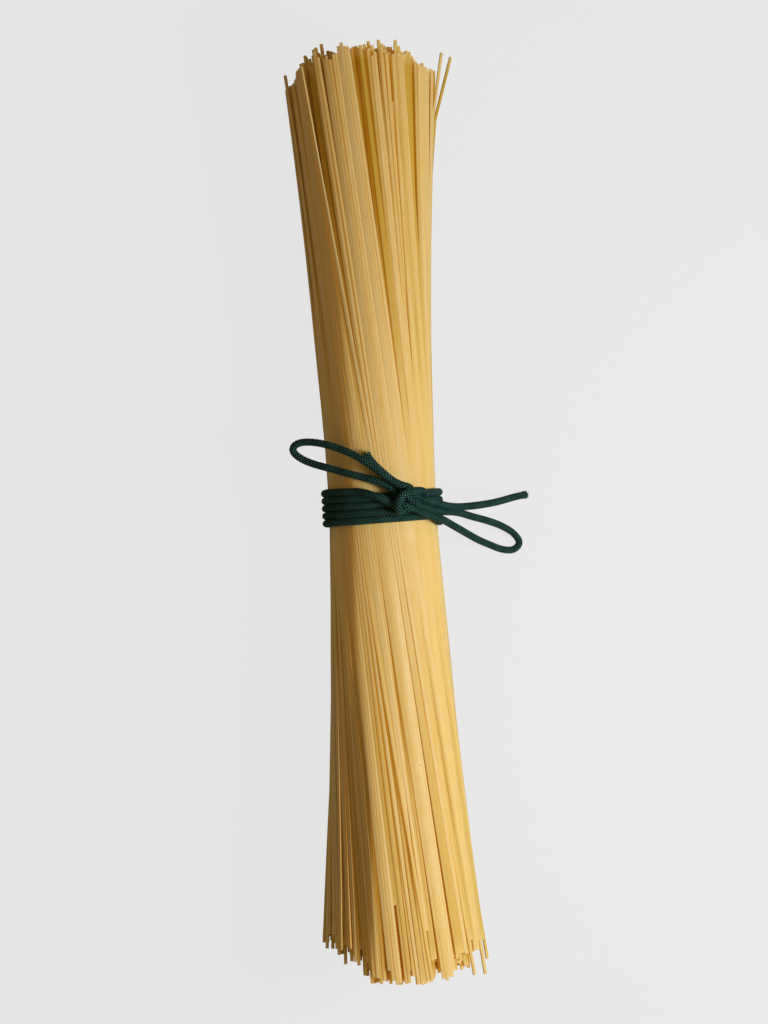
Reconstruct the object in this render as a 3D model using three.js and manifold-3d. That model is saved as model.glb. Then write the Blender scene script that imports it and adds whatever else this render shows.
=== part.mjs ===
// A bundle of dry capellini lying down, tied round its middle with a waxed cotton cord in a bow.
// Millimetres, +Z up. The strands run along Y. The bundle rests on the undersides of its two flared ends,
// and the origin is on the resting surface, below the middle of the bundle.
import * as THREE from 'three';
import { mergeVertices } from 'three/addons/utils/BufferGeometryUtils.js';
import Module from 'manifold-3d';

// Bundle: strands of one length with a slight twist, which spread from a neck to both ends
const STRAND_LENGTH = 260;
const NECK_RADIUS = 15.8;
const NECK_Y = 15;
const SPREAD_UP = 0.134;
const SPREAD_DOWN = 0.12;
const TWIST_SLOPE = 0.096;
const AXIS_HEIGHT = 20.6;

// Furrows between the clumps of strands, deepest at the ends: how many round the bundle, their share, their phase
const FURROW_DEPTH = 0.9;
const FURROWS = [
  [6, 0.5, 0.4],
  [10, 0.3, 2.1],
  [16, 0.2, 4.0],
];

// Cut ends: the middle strands run straight and reach a little further, and no two end level
const END_CROWN = 1.3;
const END_RAGGED = 1.4;
const END_RINGS = [1, 0.78, 0.52, 0.26];

// Tie: five turns side by side and a bow
const CORD_DIAMETER = 2.1;
const WRAP_TURNS = 5;
const WRAP_PITCH = 2.15;
const WRAP_RADIUS = 16.4;
const TIE_Y = 2;
const WRAP_Y = TIE_Y - WRAP_PITCH / 4;
const GAP = 0.3;
const SHOULDER = 2.5;

// Fineness of the faceted solids
const BUNDLE_SIDES = 56;
const BUNDLE_STEP = 9;
const SHOULDER_STEPS = 3;
const WRAP_SIDES = 40;
const TURN_FACETS = 4;
const CORD_SIDES = 8;
const CORD_STEP = 3.6;

const PASTA = new THREE.MeshStandardMaterial({ color: '#e2bf7b', roughness: 0.6, metalness: 0 });
const CORD = new THREE.MeshStandardMaterial({ color: '#1f3a33', roughness: 0.45, metalness: 0 });

// The bow's two runs of cord, measured from the bundle's axis in the middle of the tie.
// The first goes from the short end through the knot, out and back along the right loop, and onto the wrap.
const SHORT_END_RUN = [
  [-3.8, 14.4, 16.6], [-1.9, 11.6, 16.8], [0.4, 9.3, 16.9], [2.7, 7.1, 17.2],
  [5.2, 4.6, 18.2], [7.4, 2.0, 19.0], [9.3, 0.3, 18.1], [12.0, -1.2, 15.6],
  [16.8, -2.2, 12.5], [21.3, -2.9, 6.5], [25.4, -4.3, 0.5], [31.0, -6.0, -8.0],
  [35.7, -8.0, -14.5], [39.4, -10.5, -18.7], [41.2, -13.2, -19.4], [38.8, -15.4, -19.4],
  [35.1, -14.8, -18.0], [31.1, -13.0, -14.0], [26.8, -10.9, -7.5], [22.6, -8.3, 0.0],
  [18.8, -6.0, 7.0], [15.4, -3.9, 12.5], [13.0, -2.6, 14.2], [10.6, -1.6, 16.0],
  [8.7, -0.4, 17.4], [7.3, -0.3, 18.3], [6.0, -1.3, 18.8], [4.3, -1.4, 18.8],
  [2.6, -0.1, 18.9], [1.1, 1.5, 19.0], [-1.4, 2.7, 18.9],
];
const RIGHT_LOOP_TIP = 14;

// The second leaves the wrap, goes over the knot as its band, out and back along the left loop, to the long end.
const LONG_END_RUN = [
  [14.8, -3.7, 11.9], [13.2, -0.9, 13.7], [12.0, 1.5, 15.8], [10.4, 3.5, 18.7],
  [8.2, 4.0, 20.6], [5.9, 3.2, 21.3], [4.4, 1.5, 21.1], [4.1, -0.5, 20.1],
  [4.9, -1.6, 18.6], [6.5, -0.7, 17.9], [6.3, 1.3, 17.9], [5.3, 3.0, 17.9],
  [3.6, 4.6, 18.0], [1.0, 6.0, 17.8], [-2.6, 7.4, 17.3], [-10.0, 9.7, 14.8],
  [-14.6, 11.3, 12.6], [-19.1, 12.8, 10.4], [-22.9, 14.7, 8.9], [-25.3, 17.1, 8.3],
  [-23.9, 18.8, 8.7], [-20.6, 19.1, 10.2], [-15.9, 18.2, 12.8], [-11.3, 16.5, 15.5],
  [-7.1, 14.4, 17.6], [-3.4, 11.8, 19.0], [-0.2, 9.3, 19.5], [2.7, 7.0, 19.6],
  [4.8, 5.4, 19.6], [6.7, 4.0, 19.2], [8.7, 2.6, 18.2], [10.7, 1.3, 17.2],
  [13.2, 0.0, 15.8], [17.4, -1.2, 13.2], [22.5, -1.4, 8.0], [28.1, -1.1, 1.0],
  [33.8, -0.4, -7.0], [39.5, 0.8, -15.0], [42.9, 1.3, -19.2],
];
const LEFT_LOOP_TIP = 19;

const wasm = await Module();
wasm.setup();

// Unevenness that comes out the same each time: a value from -1 to 1 for each whole number
function uneven(number) {
  const spread = Math.sin(number * 12.9898) * 43758.5453;
  return 2 * (spread - Math.floor(spread)) - 1;
}

// Radius of the bundle's outside, drawn in under the tie
function bundleRadius(y) {
  const spread = y > NECK_Y ? SPREAD_UP : SPREAD_DOWN;
  const free = Math.hypot(NECK_RADIUS, spread * (y - NECK_Y));
  const tied = WRAP_RADIUS - CORD_DIAMETER / 2 - GAP;
  const pastWrap = Math.abs(y - WRAP_Y) - (WRAP_TURNS * WRAP_PITCH) / 2;
  return THREE.MathUtils.lerp(tied, free, THREE.MathUtils.smoothstep(pastWrap, 0, SHOULDER));
}

function furrow(angle, y) {
  const apart = (y - NECK_Y) / (STRAND_LENGTH / 2);
  const wave = FURROWS.reduce((sum, [count, share, phase]) => sum + share * Math.cos(count * angle + phase), 0);
  return FURROW_DEPTH * apart * apart * wave;
}

// A point on the bundle's outside, on the strand that starts at this angle round the neck (0 is the top)
function bundlePoint(angle, y, reach = 1) {
  const turned = angle - Math.atan((TWIST_SLOPE * (y - NECK_Y)) / NECK_RADIUS);
  const radius = bundleRadius(y) + furrow(angle, y);
  const height = Math.max(radius * Math.cos(turned), -AXIS_HEIGHT);
  return new THREE.Vector3(reach * radius * Math.sin(turned), y, reach * height);
}

// Places along the bundle where its section is set, closer together at the shoulders of the tie
function stations(first, last) {
  const shoulders = [-1, 1].flatMap((side) => Array.from({ length: SHOULDER_STEPS + 1 }, (_, step) =>
    WRAP_Y + side * ((WRAP_TURNS * WRAP_PITCH) / 2 + (SHOULDER * step) / SHOULDER_STEPS)));
  const clear = SHOULDER + BUNDLE_STEP / 2;
  const even = Array.from({ length: Math.floor((last - first) / BUNDLE_STEP) }, (_, step) => first + step * BUNDLE_STEP)
    .filter((y) => Math.abs(y - WRAP_Y) > (WRAP_TURNS * WRAP_PITCH) / 2 + clear);
  return [...even, ...shoulders, last].sort((a, b) => a - b);
}

// Rings of points joined into one closed skin, with a single point at each end
function skin(rings, firstTip, lastTip) {
  const positions = [firstTip, ...rings.flat(), lastTip].flatMap((point) => point.toArray());
  const index = [];
  const sides = rings[0].length;
  const at = (ring, side) => 1 + ring * sides + (side % sides);
  const end = 1 + rings.length * sides;
  for (let side = 0; side < sides; side += 1) {
    index.push(0, at(0, side + 1), at(0, side));
    for (let ring = 0; ring + 1 < rings.length; ring += 1) {
      index.push(at(ring, side), at(ring + 1, side + 1), at(ring + 1, side));
      index.push(at(ring, side), at(ring, side + 1), at(ring + 1, side + 1));
    }
    index.push(at(rings.length - 1, side), at(rings.length - 1, side + 1), end);
  }
  const geometry = new THREE.BufferGeometry();
  geometry.setAttribute('position', new THREE.Float32BufferAttribute(positions, 3));
  geometry.setIndex(index);
  return geometry;
}

function bundle() {
  const angles = Array.from({ length: BUNDLE_SIDES }, (_, side) => (2 * Math.PI * side) / BUNDLE_SIDES);
  const level = STRAND_LENGTH / 2 - END_CROWN - END_RAGGED;
  const unbroken = level - 2 * END_RAGGED;
  const sides = stations(-unbroken, unbroken).map((y) => angles.map((angle) => bundlePoint(angle, y)));

  // One ring of cut ends: the further in, the further out along the bundle
  const cutRing = (end, reach, seed) => angles.map((angle, side) => {
    const point = bundlePoint(angle, end * level, reach);
    point.y += end * (END_CROWN * (1 - reach * reach) + END_RAGGED * uneven(seed + side));
    return point;
  });
  const cutRings = (end, seed) => END_RINGS.map((reach, ring) => cutRing(end, reach, seed + ring * BUNDLE_SIDES));
  const tip = (end) => new THREE.Vector3(0, end * (level + END_CROWN), 0);

  const rings = [...cutRings(-1, 1).reverse(), ...sides, ...cutRings(1, 500)];
  return skin(rings, tip(-1), tip(1));
}

// The wrap is the outer shape of its turns: a ring round the bundle with a half-round rib for each turn
function wrap() {
  const profile = [];
  const inner = WRAP_RADIUS - CORD_DIAMETER / 2;
  const half = (WRAP_TURNS * WRAP_PITCH) / 2;
  profile.push(new THREE.Vector2(inner, -half));
  for (let turn = 0; turn < WRAP_TURNS; turn += 1) {
    const middle = (turn + 0.5) * WRAP_PITCH - half;
    for (let facet = turn ? 1 : 0; facet <= TURN_FACETS; facet += 1) {
      const swing = Math.PI * (facet / TURN_FACETS - 0.5);
      const out = WRAP_RADIUS + (CORD_DIAMETER / 2) * Math.cos(swing);
      profile.push(new THREE.Vector2(out, middle + (WRAP_PITCH / 2) * Math.sin(swing)));
    }
  }
  profile.push(new THREE.Vector2(inner, half), profile[0].clone());
  return new THREE.LatheGeometry(profile, WRAP_SIDES);
}

function tube(points) {
  const corners = Array.from({ length: CORD_SIDES }, (_, side) => {
    const angle = (2 * Math.PI * side) / CORD_SIDES;
    return new THREE.Vector2(Math.cos(angle), Math.sin(angle)).multiplyScalar(CORD_DIAMETER / 2);
  });
  const path = new THREE.CatmullRomCurve3(points.map((point) => new THREE.Vector3(...point)), false, 'centripetal');
  const steps = Math.ceil(path.getLength() / CORD_STEP);
  return new THREE.ExtrudeGeometry(new THREE.Shape(corners), { steps, extrudePath: path, bevelEnabled: false });
}

function solid(geometry) {
  const bare = geometry.clone();
  bare.deleteAttribute('normal');
  bare.deleteAttribute('uv');
  const merged = mergeVertices(bare, 1e-4);
  const vertProperties = merged.attributes.position.array;
  return new wasm.Manifold(new wasm.Mesh({ numProp: 3, vertProperties, triVerts: new Uint32Array(merged.index.array) }));
}

// Both runs of the bow, each laid as an outgoing and a returning tube that share the loop's tip, joined at the knot
function bow() {
  const halves = (run, tip) => [run.slice(0, tip + 2), run.slice(tip)];
  const tubes = [...halves(SHORT_END_RUN, RIGHT_LOOP_TIP), ...halves(LONG_END_RUN, LEFT_LOOP_TIP)].map(tube);
  const joined = tubes.map(solid).reduce((whole, piece) => whole.add(piece)).getMesh();
  const geometry = new THREE.BufferGeometry();
  geometry.setAttribute('position', new THREE.BufferAttribute(joined.vertProperties, 3));
  geometry.setIndex(new THREE.BufferAttribute(joined.triVerts, 1));
  return geometry;
}

function named(name, geometry, material, y) {
  const mesh = new THREE.Mesh(geometry, material);
  mesh.name = name;
  mesh.position.set(0, y, AXIS_HEIGHT);
  return mesh;
}

const part = new THREE.Group();
part.add(named('capellini_bundle', bundle(), PASTA, 0));
part.add(named('tie_wrap', wrap(), CORD, WRAP_Y));
part.add(named('tie_bow', bow(), CORD, TIE_Y));

export default part;
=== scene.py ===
"""A bundle of dry capellini, tied round its middle with a waxed cord in a bow.

The file is laid out as an add-on and run as a script. Lengths are in metres, +Z is up, the strands
run along Y and the bundle lies on the plane z = 0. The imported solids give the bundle's length and
the tie's place.
"""

import math

import bpy
import numpy as np
from bpy.props import FloatProperty, FloatVectorProperty, IntProperty, PointerProperty
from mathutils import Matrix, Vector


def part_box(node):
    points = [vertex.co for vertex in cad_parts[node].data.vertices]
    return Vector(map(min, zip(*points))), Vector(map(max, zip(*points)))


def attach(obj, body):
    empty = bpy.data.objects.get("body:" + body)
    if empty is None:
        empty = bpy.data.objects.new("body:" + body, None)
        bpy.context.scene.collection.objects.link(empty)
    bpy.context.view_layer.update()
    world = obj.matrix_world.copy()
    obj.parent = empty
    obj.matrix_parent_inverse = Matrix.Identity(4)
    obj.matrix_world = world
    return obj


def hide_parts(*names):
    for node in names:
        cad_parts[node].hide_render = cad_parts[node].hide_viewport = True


bl_info = {
    "name": "Tied Capellini Bundle",
    "version": (1, 0, 0),
    "blender": (4, 5, 0),
    "location": "View3D > Sidebar > Capellini",
    "description": "Builds a bundle of dry capellini tied with a waxed cord, and its stage",
    "category": "Add Mesh",
}

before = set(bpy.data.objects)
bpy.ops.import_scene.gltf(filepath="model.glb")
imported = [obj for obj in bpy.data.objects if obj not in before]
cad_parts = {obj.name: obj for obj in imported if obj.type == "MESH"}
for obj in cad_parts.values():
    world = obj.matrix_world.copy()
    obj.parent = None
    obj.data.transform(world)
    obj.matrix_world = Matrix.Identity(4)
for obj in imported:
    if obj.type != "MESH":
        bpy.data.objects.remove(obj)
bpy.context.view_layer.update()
BUNDLE_LOW, BUNDLE_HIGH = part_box("capellini_bundle")
WRAP_LOW, WRAP_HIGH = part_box("tie_wrap")

MM = 0.001
TINY = 1e-9
AXIS_HEIGHT = (WRAP_LOW.z + WRAP_HIGH.z) / 2
WRAP_MIDDLE = (WRAP_LOW.y + WRAP_HIGH.y) / 2
WRAP_OUTSIDE = (WRAP_HIGH.x - WRAP_LOW.x) / 2

# The bow's two runs of cord, in millimetres from the bundle's axis in the middle of the tie.
# The first goes from the short end through the knot, out and back along the right loop, and onto
# the wrap.
SHORT_END_RUN = [
    (-3.8, 14.4, 16.6), (-1.9, 11.6, 16.8), (0.4, 9.3, 16.9), (2.7, 7.1, 17.2),
    (5.2, 4.6, 18.2), (7.4, 2.0, 19.0), (9.3, 0.3, 18.1), (12.0, -1.2, 15.6),
    (16.8, -2.2, 12.5), (21.3, -2.9, 6.5), (25.4, -4.3, 0.5), (31.0, -6.0, -8.0),
    (35.7, -8.0, -14.5), (39.4, -10.5, -18.7), (41.2, -13.2, -19.4), (38.8, -15.4, -19.4),
    (35.1, -14.8, -18.0), (31.1, -13.0, -14.0), (26.8, -10.9, -7.5), (22.6, -8.3, 0.0),
    (18.8, -6.0, 7.0), (15.4, -3.9, 12.5), (13.0, -2.6, 14.2), (10.6, -1.6, 16.0),
    (8.7, -0.4, 17.4), (7.3, -0.3, 18.3), (6.0, -1.3, 18.8), (4.3, -1.4, 18.8),
    (2.6, -0.1, 18.9), (1.1, 1.5, 19.0), (-1.4, 2.7, 18.9),
]

# The second leaves the wrap, goes over the knot as its band, out and back along the left loop, and
# to the long end.
LONG_END_RUN = [
    (14.8, -3.7, 11.9), (13.2, -0.9, 13.7), (12.0, 1.5, 15.8), (10.4, 3.5, 18.7),
    (8.2, 4.0, 20.6), (5.9, 3.2, 21.3), (4.4, 1.5, 21.1), (4.1, -0.5, 20.1),
    (4.9, -1.6, 18.6), (6.5, -0.7, 17.9), (6.3, 1.3, 17.9), (5.3, 3.0, 17.9),
    (3.6, 4.6, 18.0), (1.0, 6.0, 17.8), (-2.6, 7.4, 17.3), (-10.0, 9.7, 14.8),
    (-14.6, 11.3, 12.6), (-19.1, 12.8, 10.4), (-22.9, 14.7, 8.9), (-25.3, 17.1, 8.3),
    (-23.9, 18.8, 8.7), (-20.6, 19.1, 10.2), (-15.9, 18.2, 12.8), (-11.3, 16.5, 15.5),
    (-7.1, 14.4, 17.6), (-3.4, 11.8, 19.0), (-0.2, 9.3, 19.5), (2.7, 7.0, 19.6),
    (4.8, 5.4, 19.6), (6.7, 4.0, 19.2), (8.7, 2.6, 18.2), (10.7, 1.3, 17.2),
    (13.2, 0.0, 15.8), (17.4, -1.2, 13.2), (22.5, -1.4, 8.0), (28.1, -1.1, 1.0),
    (33.8, -0.4, -7.0), (39.5, 0.8, -15.0), (42.9, 1.3, -19.2),
]

# Where the wrap's turns start and stop, as degrees from the top towards +X, counted on through the
# turns
WRAP_START = -62
WRAP_STOP = -1690
WRAP_POINTS_PER_TURN = 24

# Past the wrap's edge, where the bundle starts to widen and where it has its free width
TIE_EASE = (-3 * MM, 12 * MM)


class StrandSettings(bpy.types.PropertyGroup):
    """Sizes and colours of the capellini."""

    diameter: FloatProperty(
        name="Strand diameter", description="Thickness of one strand", default=0.9 * MM,
        unit="LENGTH", precision=5)
    length: FloatProperty(
        name="Strand length", description="Length of a whole strand",
        default=BUNDLE_HIGH.y - BUNDLE_LOW.y, unit="LENGTH")
    neck_radius: FloatProperty(
        name="Neck radius", description="Bundle's radius where it is narrowest, beside the tie",
        default=15.8 * MM, unit="LENGTH", precision=4)
    neck_place: FloatProperty(
        name="Neck place", description="Place of the neck along the bundle", default=15 * MM,
        unit="LENGTH", precision=4)
    spread_up: FloatProperty(
        name="Spread up", description="Widening of the bundle towards +Y", default=0.134)
    spread_down: FloatProperty(
        name="Spread down", description="Widening of the bundle towards -Y", default=0.12)
    twist: FloatProperty(
        name="Twist", description="Sideways run of an outer strand for each metre of its length",
        default=0.096)
    contact: FloatProperty(
        name="Contact", default=0.93,
        description="Distance between the middles of touching strands, as a share of the diameter")
    depth_up: FloatProperty(
        name="Depth up", default=1.05,
        description="Depth of the outer layers at the +Y end, as a multiple of that under the tie")
    depth_down: FloatProperty(
        name="Depth down", default=1.0,
        description="Depth of the outer layers at the -Y end, as a multiple of that under the tie")
    gather_up: FloatProperty(
        name="Gather up", default=1.0, min=0, max=1,
        description="How closely the strands of a ribbon keep together to the +Y end")
    gather_down: FloatProperty(
        name="Gather down", default=0.95, min=0, max=1,
        description="How closely the strands of a ribbon keep together to the -Y end")
    flat: FloatProperty(
        name="Flat", description="Depth of the flat along the bundle's left side",
        default=1.2 * MM, unit="LENGTH", precision=5)
    flat_turn: FloatProperty(
        name="Flat turn", default=math.radians(24), subtype="ANGLE",
        description="Angle at the edge of the flat, in the way the strands catch the light")
    ribbon_wander: FloatProperty(
        name="Ribbon wander", description="How far a ribbon of strands strays sideways at its tips",
        default=0.7 * MM, unit="LENGTH", precision=5)
    ribbon_recess: FloatProperty(
        name="Ribbon recess", default=0.45 * MM, unit="LENGTH", precision=5,
        description="How far a ribbon sinks between its neighbours at its tips")
    ribbon_crown: FloatProperty(
        name="Ribbon crown", default=0.3 * MM, unit="LENGTH", precision=5,
        description="How far a ribbon's edges lie below its middle at its tips")
    ribbon_turn: FloatProperty(
        name="Ribbon turn", default=math.radians(14), subtype="ANGLE",
        description="Angle of a ribbon's edges, in the way the strands catch the light")
    valley_share: FloatProperty(
        name="Valleys", description="How often a sunk valley lies between two standing ribbons",
        default=0.7, min=0, max=1)
    valley_up: FloatProperty(
        name="Valleys up", description="Depth of the valleys at the +Y end", default=3.2 * MM,
        unit="LENGTH", precision=5)
    valley_down: FloatProperty(
        name="Valleys down", description="Depth of the valleys at the -Y end", default=0.9 * MM,
        unit="LENGTH", precision=5)
    valley_lean: FloatProperty(
        name="Valley lean", default=0.8, min=0, max=1,
        description="How much deeper the valleys at the -Y end are on the left, as a share")
    wander: FloatProperty(
        name="Wander", description="How far a strand strays at its tips from its neighbours",
        default=0.24 * MM, unit="LENGTH", precision=5)
    ribbon_ragged: FloatProperty(
        name="Ragged ribbons", default=0.9 * MM, unit="LENGTH", precision=5,
        description="Usual unevenness along the bundle from ribbon to ribbon")
    ragged: FloatProperty(
        name="Ragged tips", description="Usual unevenness of the tips in a ribbon",
        default=0.6 * MM, unit="LENGTH", precision=5)
    evenness: FloatProperty(
        name="Evenness", default=0.84, min=0, max=1,
        description="Share of the bundle's own roundness in the way the strands catch the light")
    seed: IntProperty(name="Seed", description="Start of the random draws", default=7)
    pale: FloatVectorProperty(
        name="Pale strands", description="Colour of the palest strands",
        default=(0.82, 0.65, 0.27), subtype="COLOR", min=0, max=1)
    golden: FloatVectorProperty(
        name="Golden strands", description="Colour of the most golden strands",
        default=(0.77, 0.545, 0.15), subtype="COLOR", min=0, max=1)
    # Painted shade: a darker, more golden colour for the sunk strands of the valleys and the deeper
    # layers, where shade falls between the ribbons
    inner: FloatVectorProperty(
        name="Inner strands", description="Deeper colour of the strands below the outside",
        default=(0.58, 0.365, 0.025), subtype="COLOR", min=0, max=1)
    cut_tip: FloatVectorProperty(
        name="Cut tips", description="Colour of the cut faces at the tips",
        default=(0.86, 0.70, 0.38), subtype="COLOR", min=0, max=1)
    glow: FloatVectorProperty(
        name="Glow", default=(0.78, 0.61, 0.14), subtype="COLOR", min=0, max=1,
        description="Share of the light that passes one wall of a strand, golden behind it")
    speck: FloatVectorProperty(
        name="Bran specks", description="Colour of the fine specks", default=(0.22, 0.09, 0.02),
        subtype="COLOR", min=0, max=1)


class CordSettings(bpy.types.PropertyGroup):
    """Sizes and colours of the tie cord."""

    diameter: FloatProperty(
        name="Cord diameter", description="Thickness of the cord", default=2.1 * MM,
        unit="LENGTH", precision=5)
    turns: IntProperty(name="Turns", description="Turns of the cord round the bundle", default=5)
    pitch: FloatProperty(
        name="Turn pitch", description="Distance from turn to turn",
        default=(WRAP_HIGH.y - WRAP_LOW.y) / 5, unit="LENGTH", precision=5)
    plaits: IntProperty(
        name="Plaits", description="Yarns of the braid in each direction", default=6)
    plait_length: FloatProperty(
        name="Plait length", description="Length of one stitch of the braid along the cord",
        default=0.85 * MM, unit="LENGTH", precision=5)
    relief: FloatProperty(
        name="Braid relief", description="Depth of the braid's furrows", default=0.28 * MM,
        unit="LENGTH", precision=5)
    crest: FloatVectorProperty(
        name="Braid crests", description="Colour of the yarns' tops",
        default=(0.055, 0.17, 0.145), subtype="COLOR", min=0, max=1)
    # Painted shade: the nearly black colour between the yarns stands in for the shade in the
    # braid's furrows
    painted_furrow_shade: FloatVectorProperty(
        name="Braid furrows", description="Colour between the yarns",
        default=(0.0002, 0.003, 0.0026), subtype="COLOR", min=0, max=1)


class StageSettings(bpy.types.PropertyGroup):
    """Camera, light and floor."""

    camera_height: FloatProperty(
        name="Camera height", description="Height of the camera above the bundle's axis",
        default=430 * MM, unit="LENGTH")
    view_height: FloatProperty(
        name="View height", default=294.5 * MM, unit="LENGTH",
        description="Length along the bundle's axis that the picture's height takes in")
    roll: FloatProperty(
        name="Roll", description="Turn of the camera, which leans the bundle in the picture",
        default=math.radians(-2.9), subtype="ANGLE")
    key_power: FloatProperty(
        name="Key power", description="Power of the key light", default=1.13, unit="POWER",
        precision=3)
    key_colour: FloatVectorProperty(
        name="Key colour", description="Colour of the key light", default=(0.95, 0.95, 1.0),
        subtype="COLOR", min=0, max=1)
    key_height: FloatProperty(
        name="Key height", description="Height of the key light above the floor, as an angle",
        default=math.radians(47), subtype="ANGLE")
    key_distance: FloatProperty(
        name="Key distance", description="Distance of the key light from the bundle's axis",
        default=360 * MM, unit="LENGTH")
    key_place: FloatProperty(
        name="Key place", description="Place of the key light along the bundle",
        default=-54 * MM, unit="LENGTH")
    key_width: FloatProperty(
        name="Key width", description="Width of the round key light", default=110 * MM,
        unit="LENGTH")
    fill: FloatProperty(
        name="Fill light", description="Strength of the light from all round", default=0.29)
    fill_colour: FloatVectorProperty(
        name="Fill colour", description="Colour of the light from all round",
        default=(1.0, 0.73, 0.44), subtype="COLOR", min=0, max=1)
    floor: FloatVectorProperty(
        name="Floor", description="Colour of the floor", default=(0.3, 0.3, 0.3),
        subtype="COLOR", min=0, max=1)
    backdrop: FloatVectorProperty(
        name="Backdrop", description="Colour that the floor is lifted to",
        default=(0.95, 0.95, 0.95), subtype="COLOR", min=0, max=1)


def eased(values, low, high):
    """0 below low, 1 above high, with a smooth rise between."""
    share = np.clip((np.asarray(values, float) - low) / (high - low), 0, 1)
    return share * share * (3 - 2 * share)


def bundle_radius(strands, cord, along):
    """Radius of the bundle's outside at places along it, drawn in under the tie."""
    from_neck = np.asarray(along, float) - strands.neck_place
    spread = np.where(from_neck > 0, strands.spread_up, strands.spread_down)
    free = np.hypot(strands.neck_radius, spread * from_neck)
    tied = WRAP_OUTSIDE - cord.diameter
    past_wrap = np.abs(np.asarray(along, float) - WRAP_MIDDLE) - cord.turns * cord.pitch / 2
    return tied + (free - tied) * eased(past_wrap, *TIE_EASE)


def link(obj):
    """Puts an object into the scene."""
    bpy.context.scene.collection.objects.link(obj)
    return obj


# Nodes and materials

# Where a noise texture's values mostly lie
NOISE_RANGE = (0.3, 0.7)


def set_inputs(tree, node, inputs):
    """Sets inputs by name or number, each to a value or to an output socket that it links from."""
    for name, value in inputs.items():
        if isinstance(name, int):
            socket = node.inputs[name]
        else:
            socket = next(s for s in node.inputs if name in (s.identifier, s.name))
        if isinstance(value, bpy.types.NodeSocket):
            tree.links.new(value, socket)
        else:
            socket.default_value = value


def add_node(tree, kind, inputs=None, **settings):
    """A new node with its settings and inputs."""
    node = tree.nodes.new(kind)
    for name, value in settings.items():
        setattr(node, name, value)
    set_inputs(tree, node, inputs or {})
    return node


def worked(tree, operation, first, second=0.0):
    """The outcome of one sum on values that change over the surface."""
    node = add_node(tree, "ShaderNodeMath", {0: first, 1: second}, operation=operation)
    return node.outputs["Value"]


def mixed_colour(tree, share, first, second):
    """The colour between two colours, by a share that changes over the surface."""
    node = add_node(tree, "ShaderNodeMix", {
        "Factor_Float": share, "A_Color": first, "B_Color": second}, data_type="RGBA")
    return next(s for s in node.outputs if s.identifier == "Result_Color")


def remapped(tree, value, old, new):
    """A value moved from its old range to a new one and held inside it."""
    node = add_node(tree, "ShaderNodeMapRange", {
        "Value": value, "From Min": old[0], "From Max": old[1], "To Min": new[0], "To Max": new[1]})
    return node.outputs["Result"]


def attribute(tree, name):
    """A value that the mesh holds for each of its points."""
    return add_node(tree, "ShaderNodeAttribute", attribute_name=name).outputs["Fac"]


def uneven_tone_group():
    """Shared shader group: a soft cloudy value between two ends, on Object coordinates."""
    if "uneven_tone" in bpy.data.node_groups:
        return bpy.data.node_groups["uneven_tone"]
    tree = bpy.data.node_groups.new("uneven_tone", "ShaderNodeTree")
    for name in ("Scale", "Low", "High"):
        tree.interface.new_socket(name, in_out="INPUT", socket_type="NodeSocketFloat")
    tree.interface.new_socket("Value", in_out="OUTPUT", socket_type="NodeSocketFloat")
    start = tree.nodes.new("NodeGroupInput").outputs
    place = tree.nodes.new("ShaderNodeTexCoord")
    cloud = add_node(tree, "ShaderNodeTexNoise", {
        "Vector": place.outputs["Object"], "Scale": start["Scale"], "Detail": 3})
    tone = remapped(tree, cloud.outputs["Fac"], NOISE_RANGE, (start["Low"], start["High"]))
    add_node(tree, "NodeGroupOutput", {"Value": tone})
    return tree


def uneven_tone(tree, scale, low, high):
    """The shared cloudy value, placed in a material with its own scale and ends."""
    node = add_node(tree, "ShaderNodeGroup", {"Scale": scale, "Low": low, "High": high},
                    node_tree=uneven_tone_group())
    return node.outputs["Value"]


def new_material(name):
    """An empty node material with a Principled shader on its output."""
    material = bpy.data.materials.new(name)
    material.use_nodes = True
    tree = material.node_tree
    tree.nodes.clear()
    shader = tree.nodes.new("ShaderNodeBsdfPrincipled")
    add_node(tree, "ShaderNodeOutputMaterial", {"Surface": shader.outputs["BSDF"]})
    return material, tree, shader


def switch_by_ray(tree, share, first, second):
    """Puts two shaders on the output, the second by a share that differs from ray to ray."""
    both = add_node(tree, "ShaderNodeMixShader", {0: share, 1: first, 2: second})
    output = next(node for node in tree.nodes if node.bl_idname.startswith("ShaderNodeOutput"))
    tree.links.new(both.outputs["Shader"], output.inputs["Surface"])


def rgba(colour):
    """A colour property as the four numbers of a socket."""
    return (*colour, 1.0)


# Tie cord

# Steps along the cord while it settles and in its mesh, sides of the mesh, and how many points of
# the mesh's line there are for one of the declared path
SETTLING_STEP = 0.6 * MM
MESH_STEP = 0.21 * MM
CORD_SIDES = 24
CORD_SEED = 11
CURVE_PIECES = 24

# Settling: rounds, how many of them smooth strongly, how often neighbours are looked up, and how
# near they are to count and how far along the cord, as multiples of its diameter
SETTLING_ROUNDS = 90
STRONG_ROUNDS = 75
SETTLING_LOOKUP = 10
CORD_REACH = 1.5
CORD_SKIP = 1.6

# Settling: shares by which the cord goes back to its route, smooths, and is pushed off itself
CORD_RETURN = 0.02
STRONG_SMOOTHING = 0.2
WEAK_SMOOTHING = 0.05
CORD_PUSH = 0.25

# A yarn of the braid: fall to its sides, height between its ends and rise to its middle, and the
# height that lies on the cord's own radius
YARN_FALL = 3.4
YARN_MEAN = 0.55
YARN_RISE = 0.45
YARN_LEVEL = 0.75

# The cut ends: widening and its length, and unevenness in millimetres
END_FLARE = 0.14
FLARE_LENGTH = 1.8 * MM
END_UNEVEN = 0.22

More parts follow.
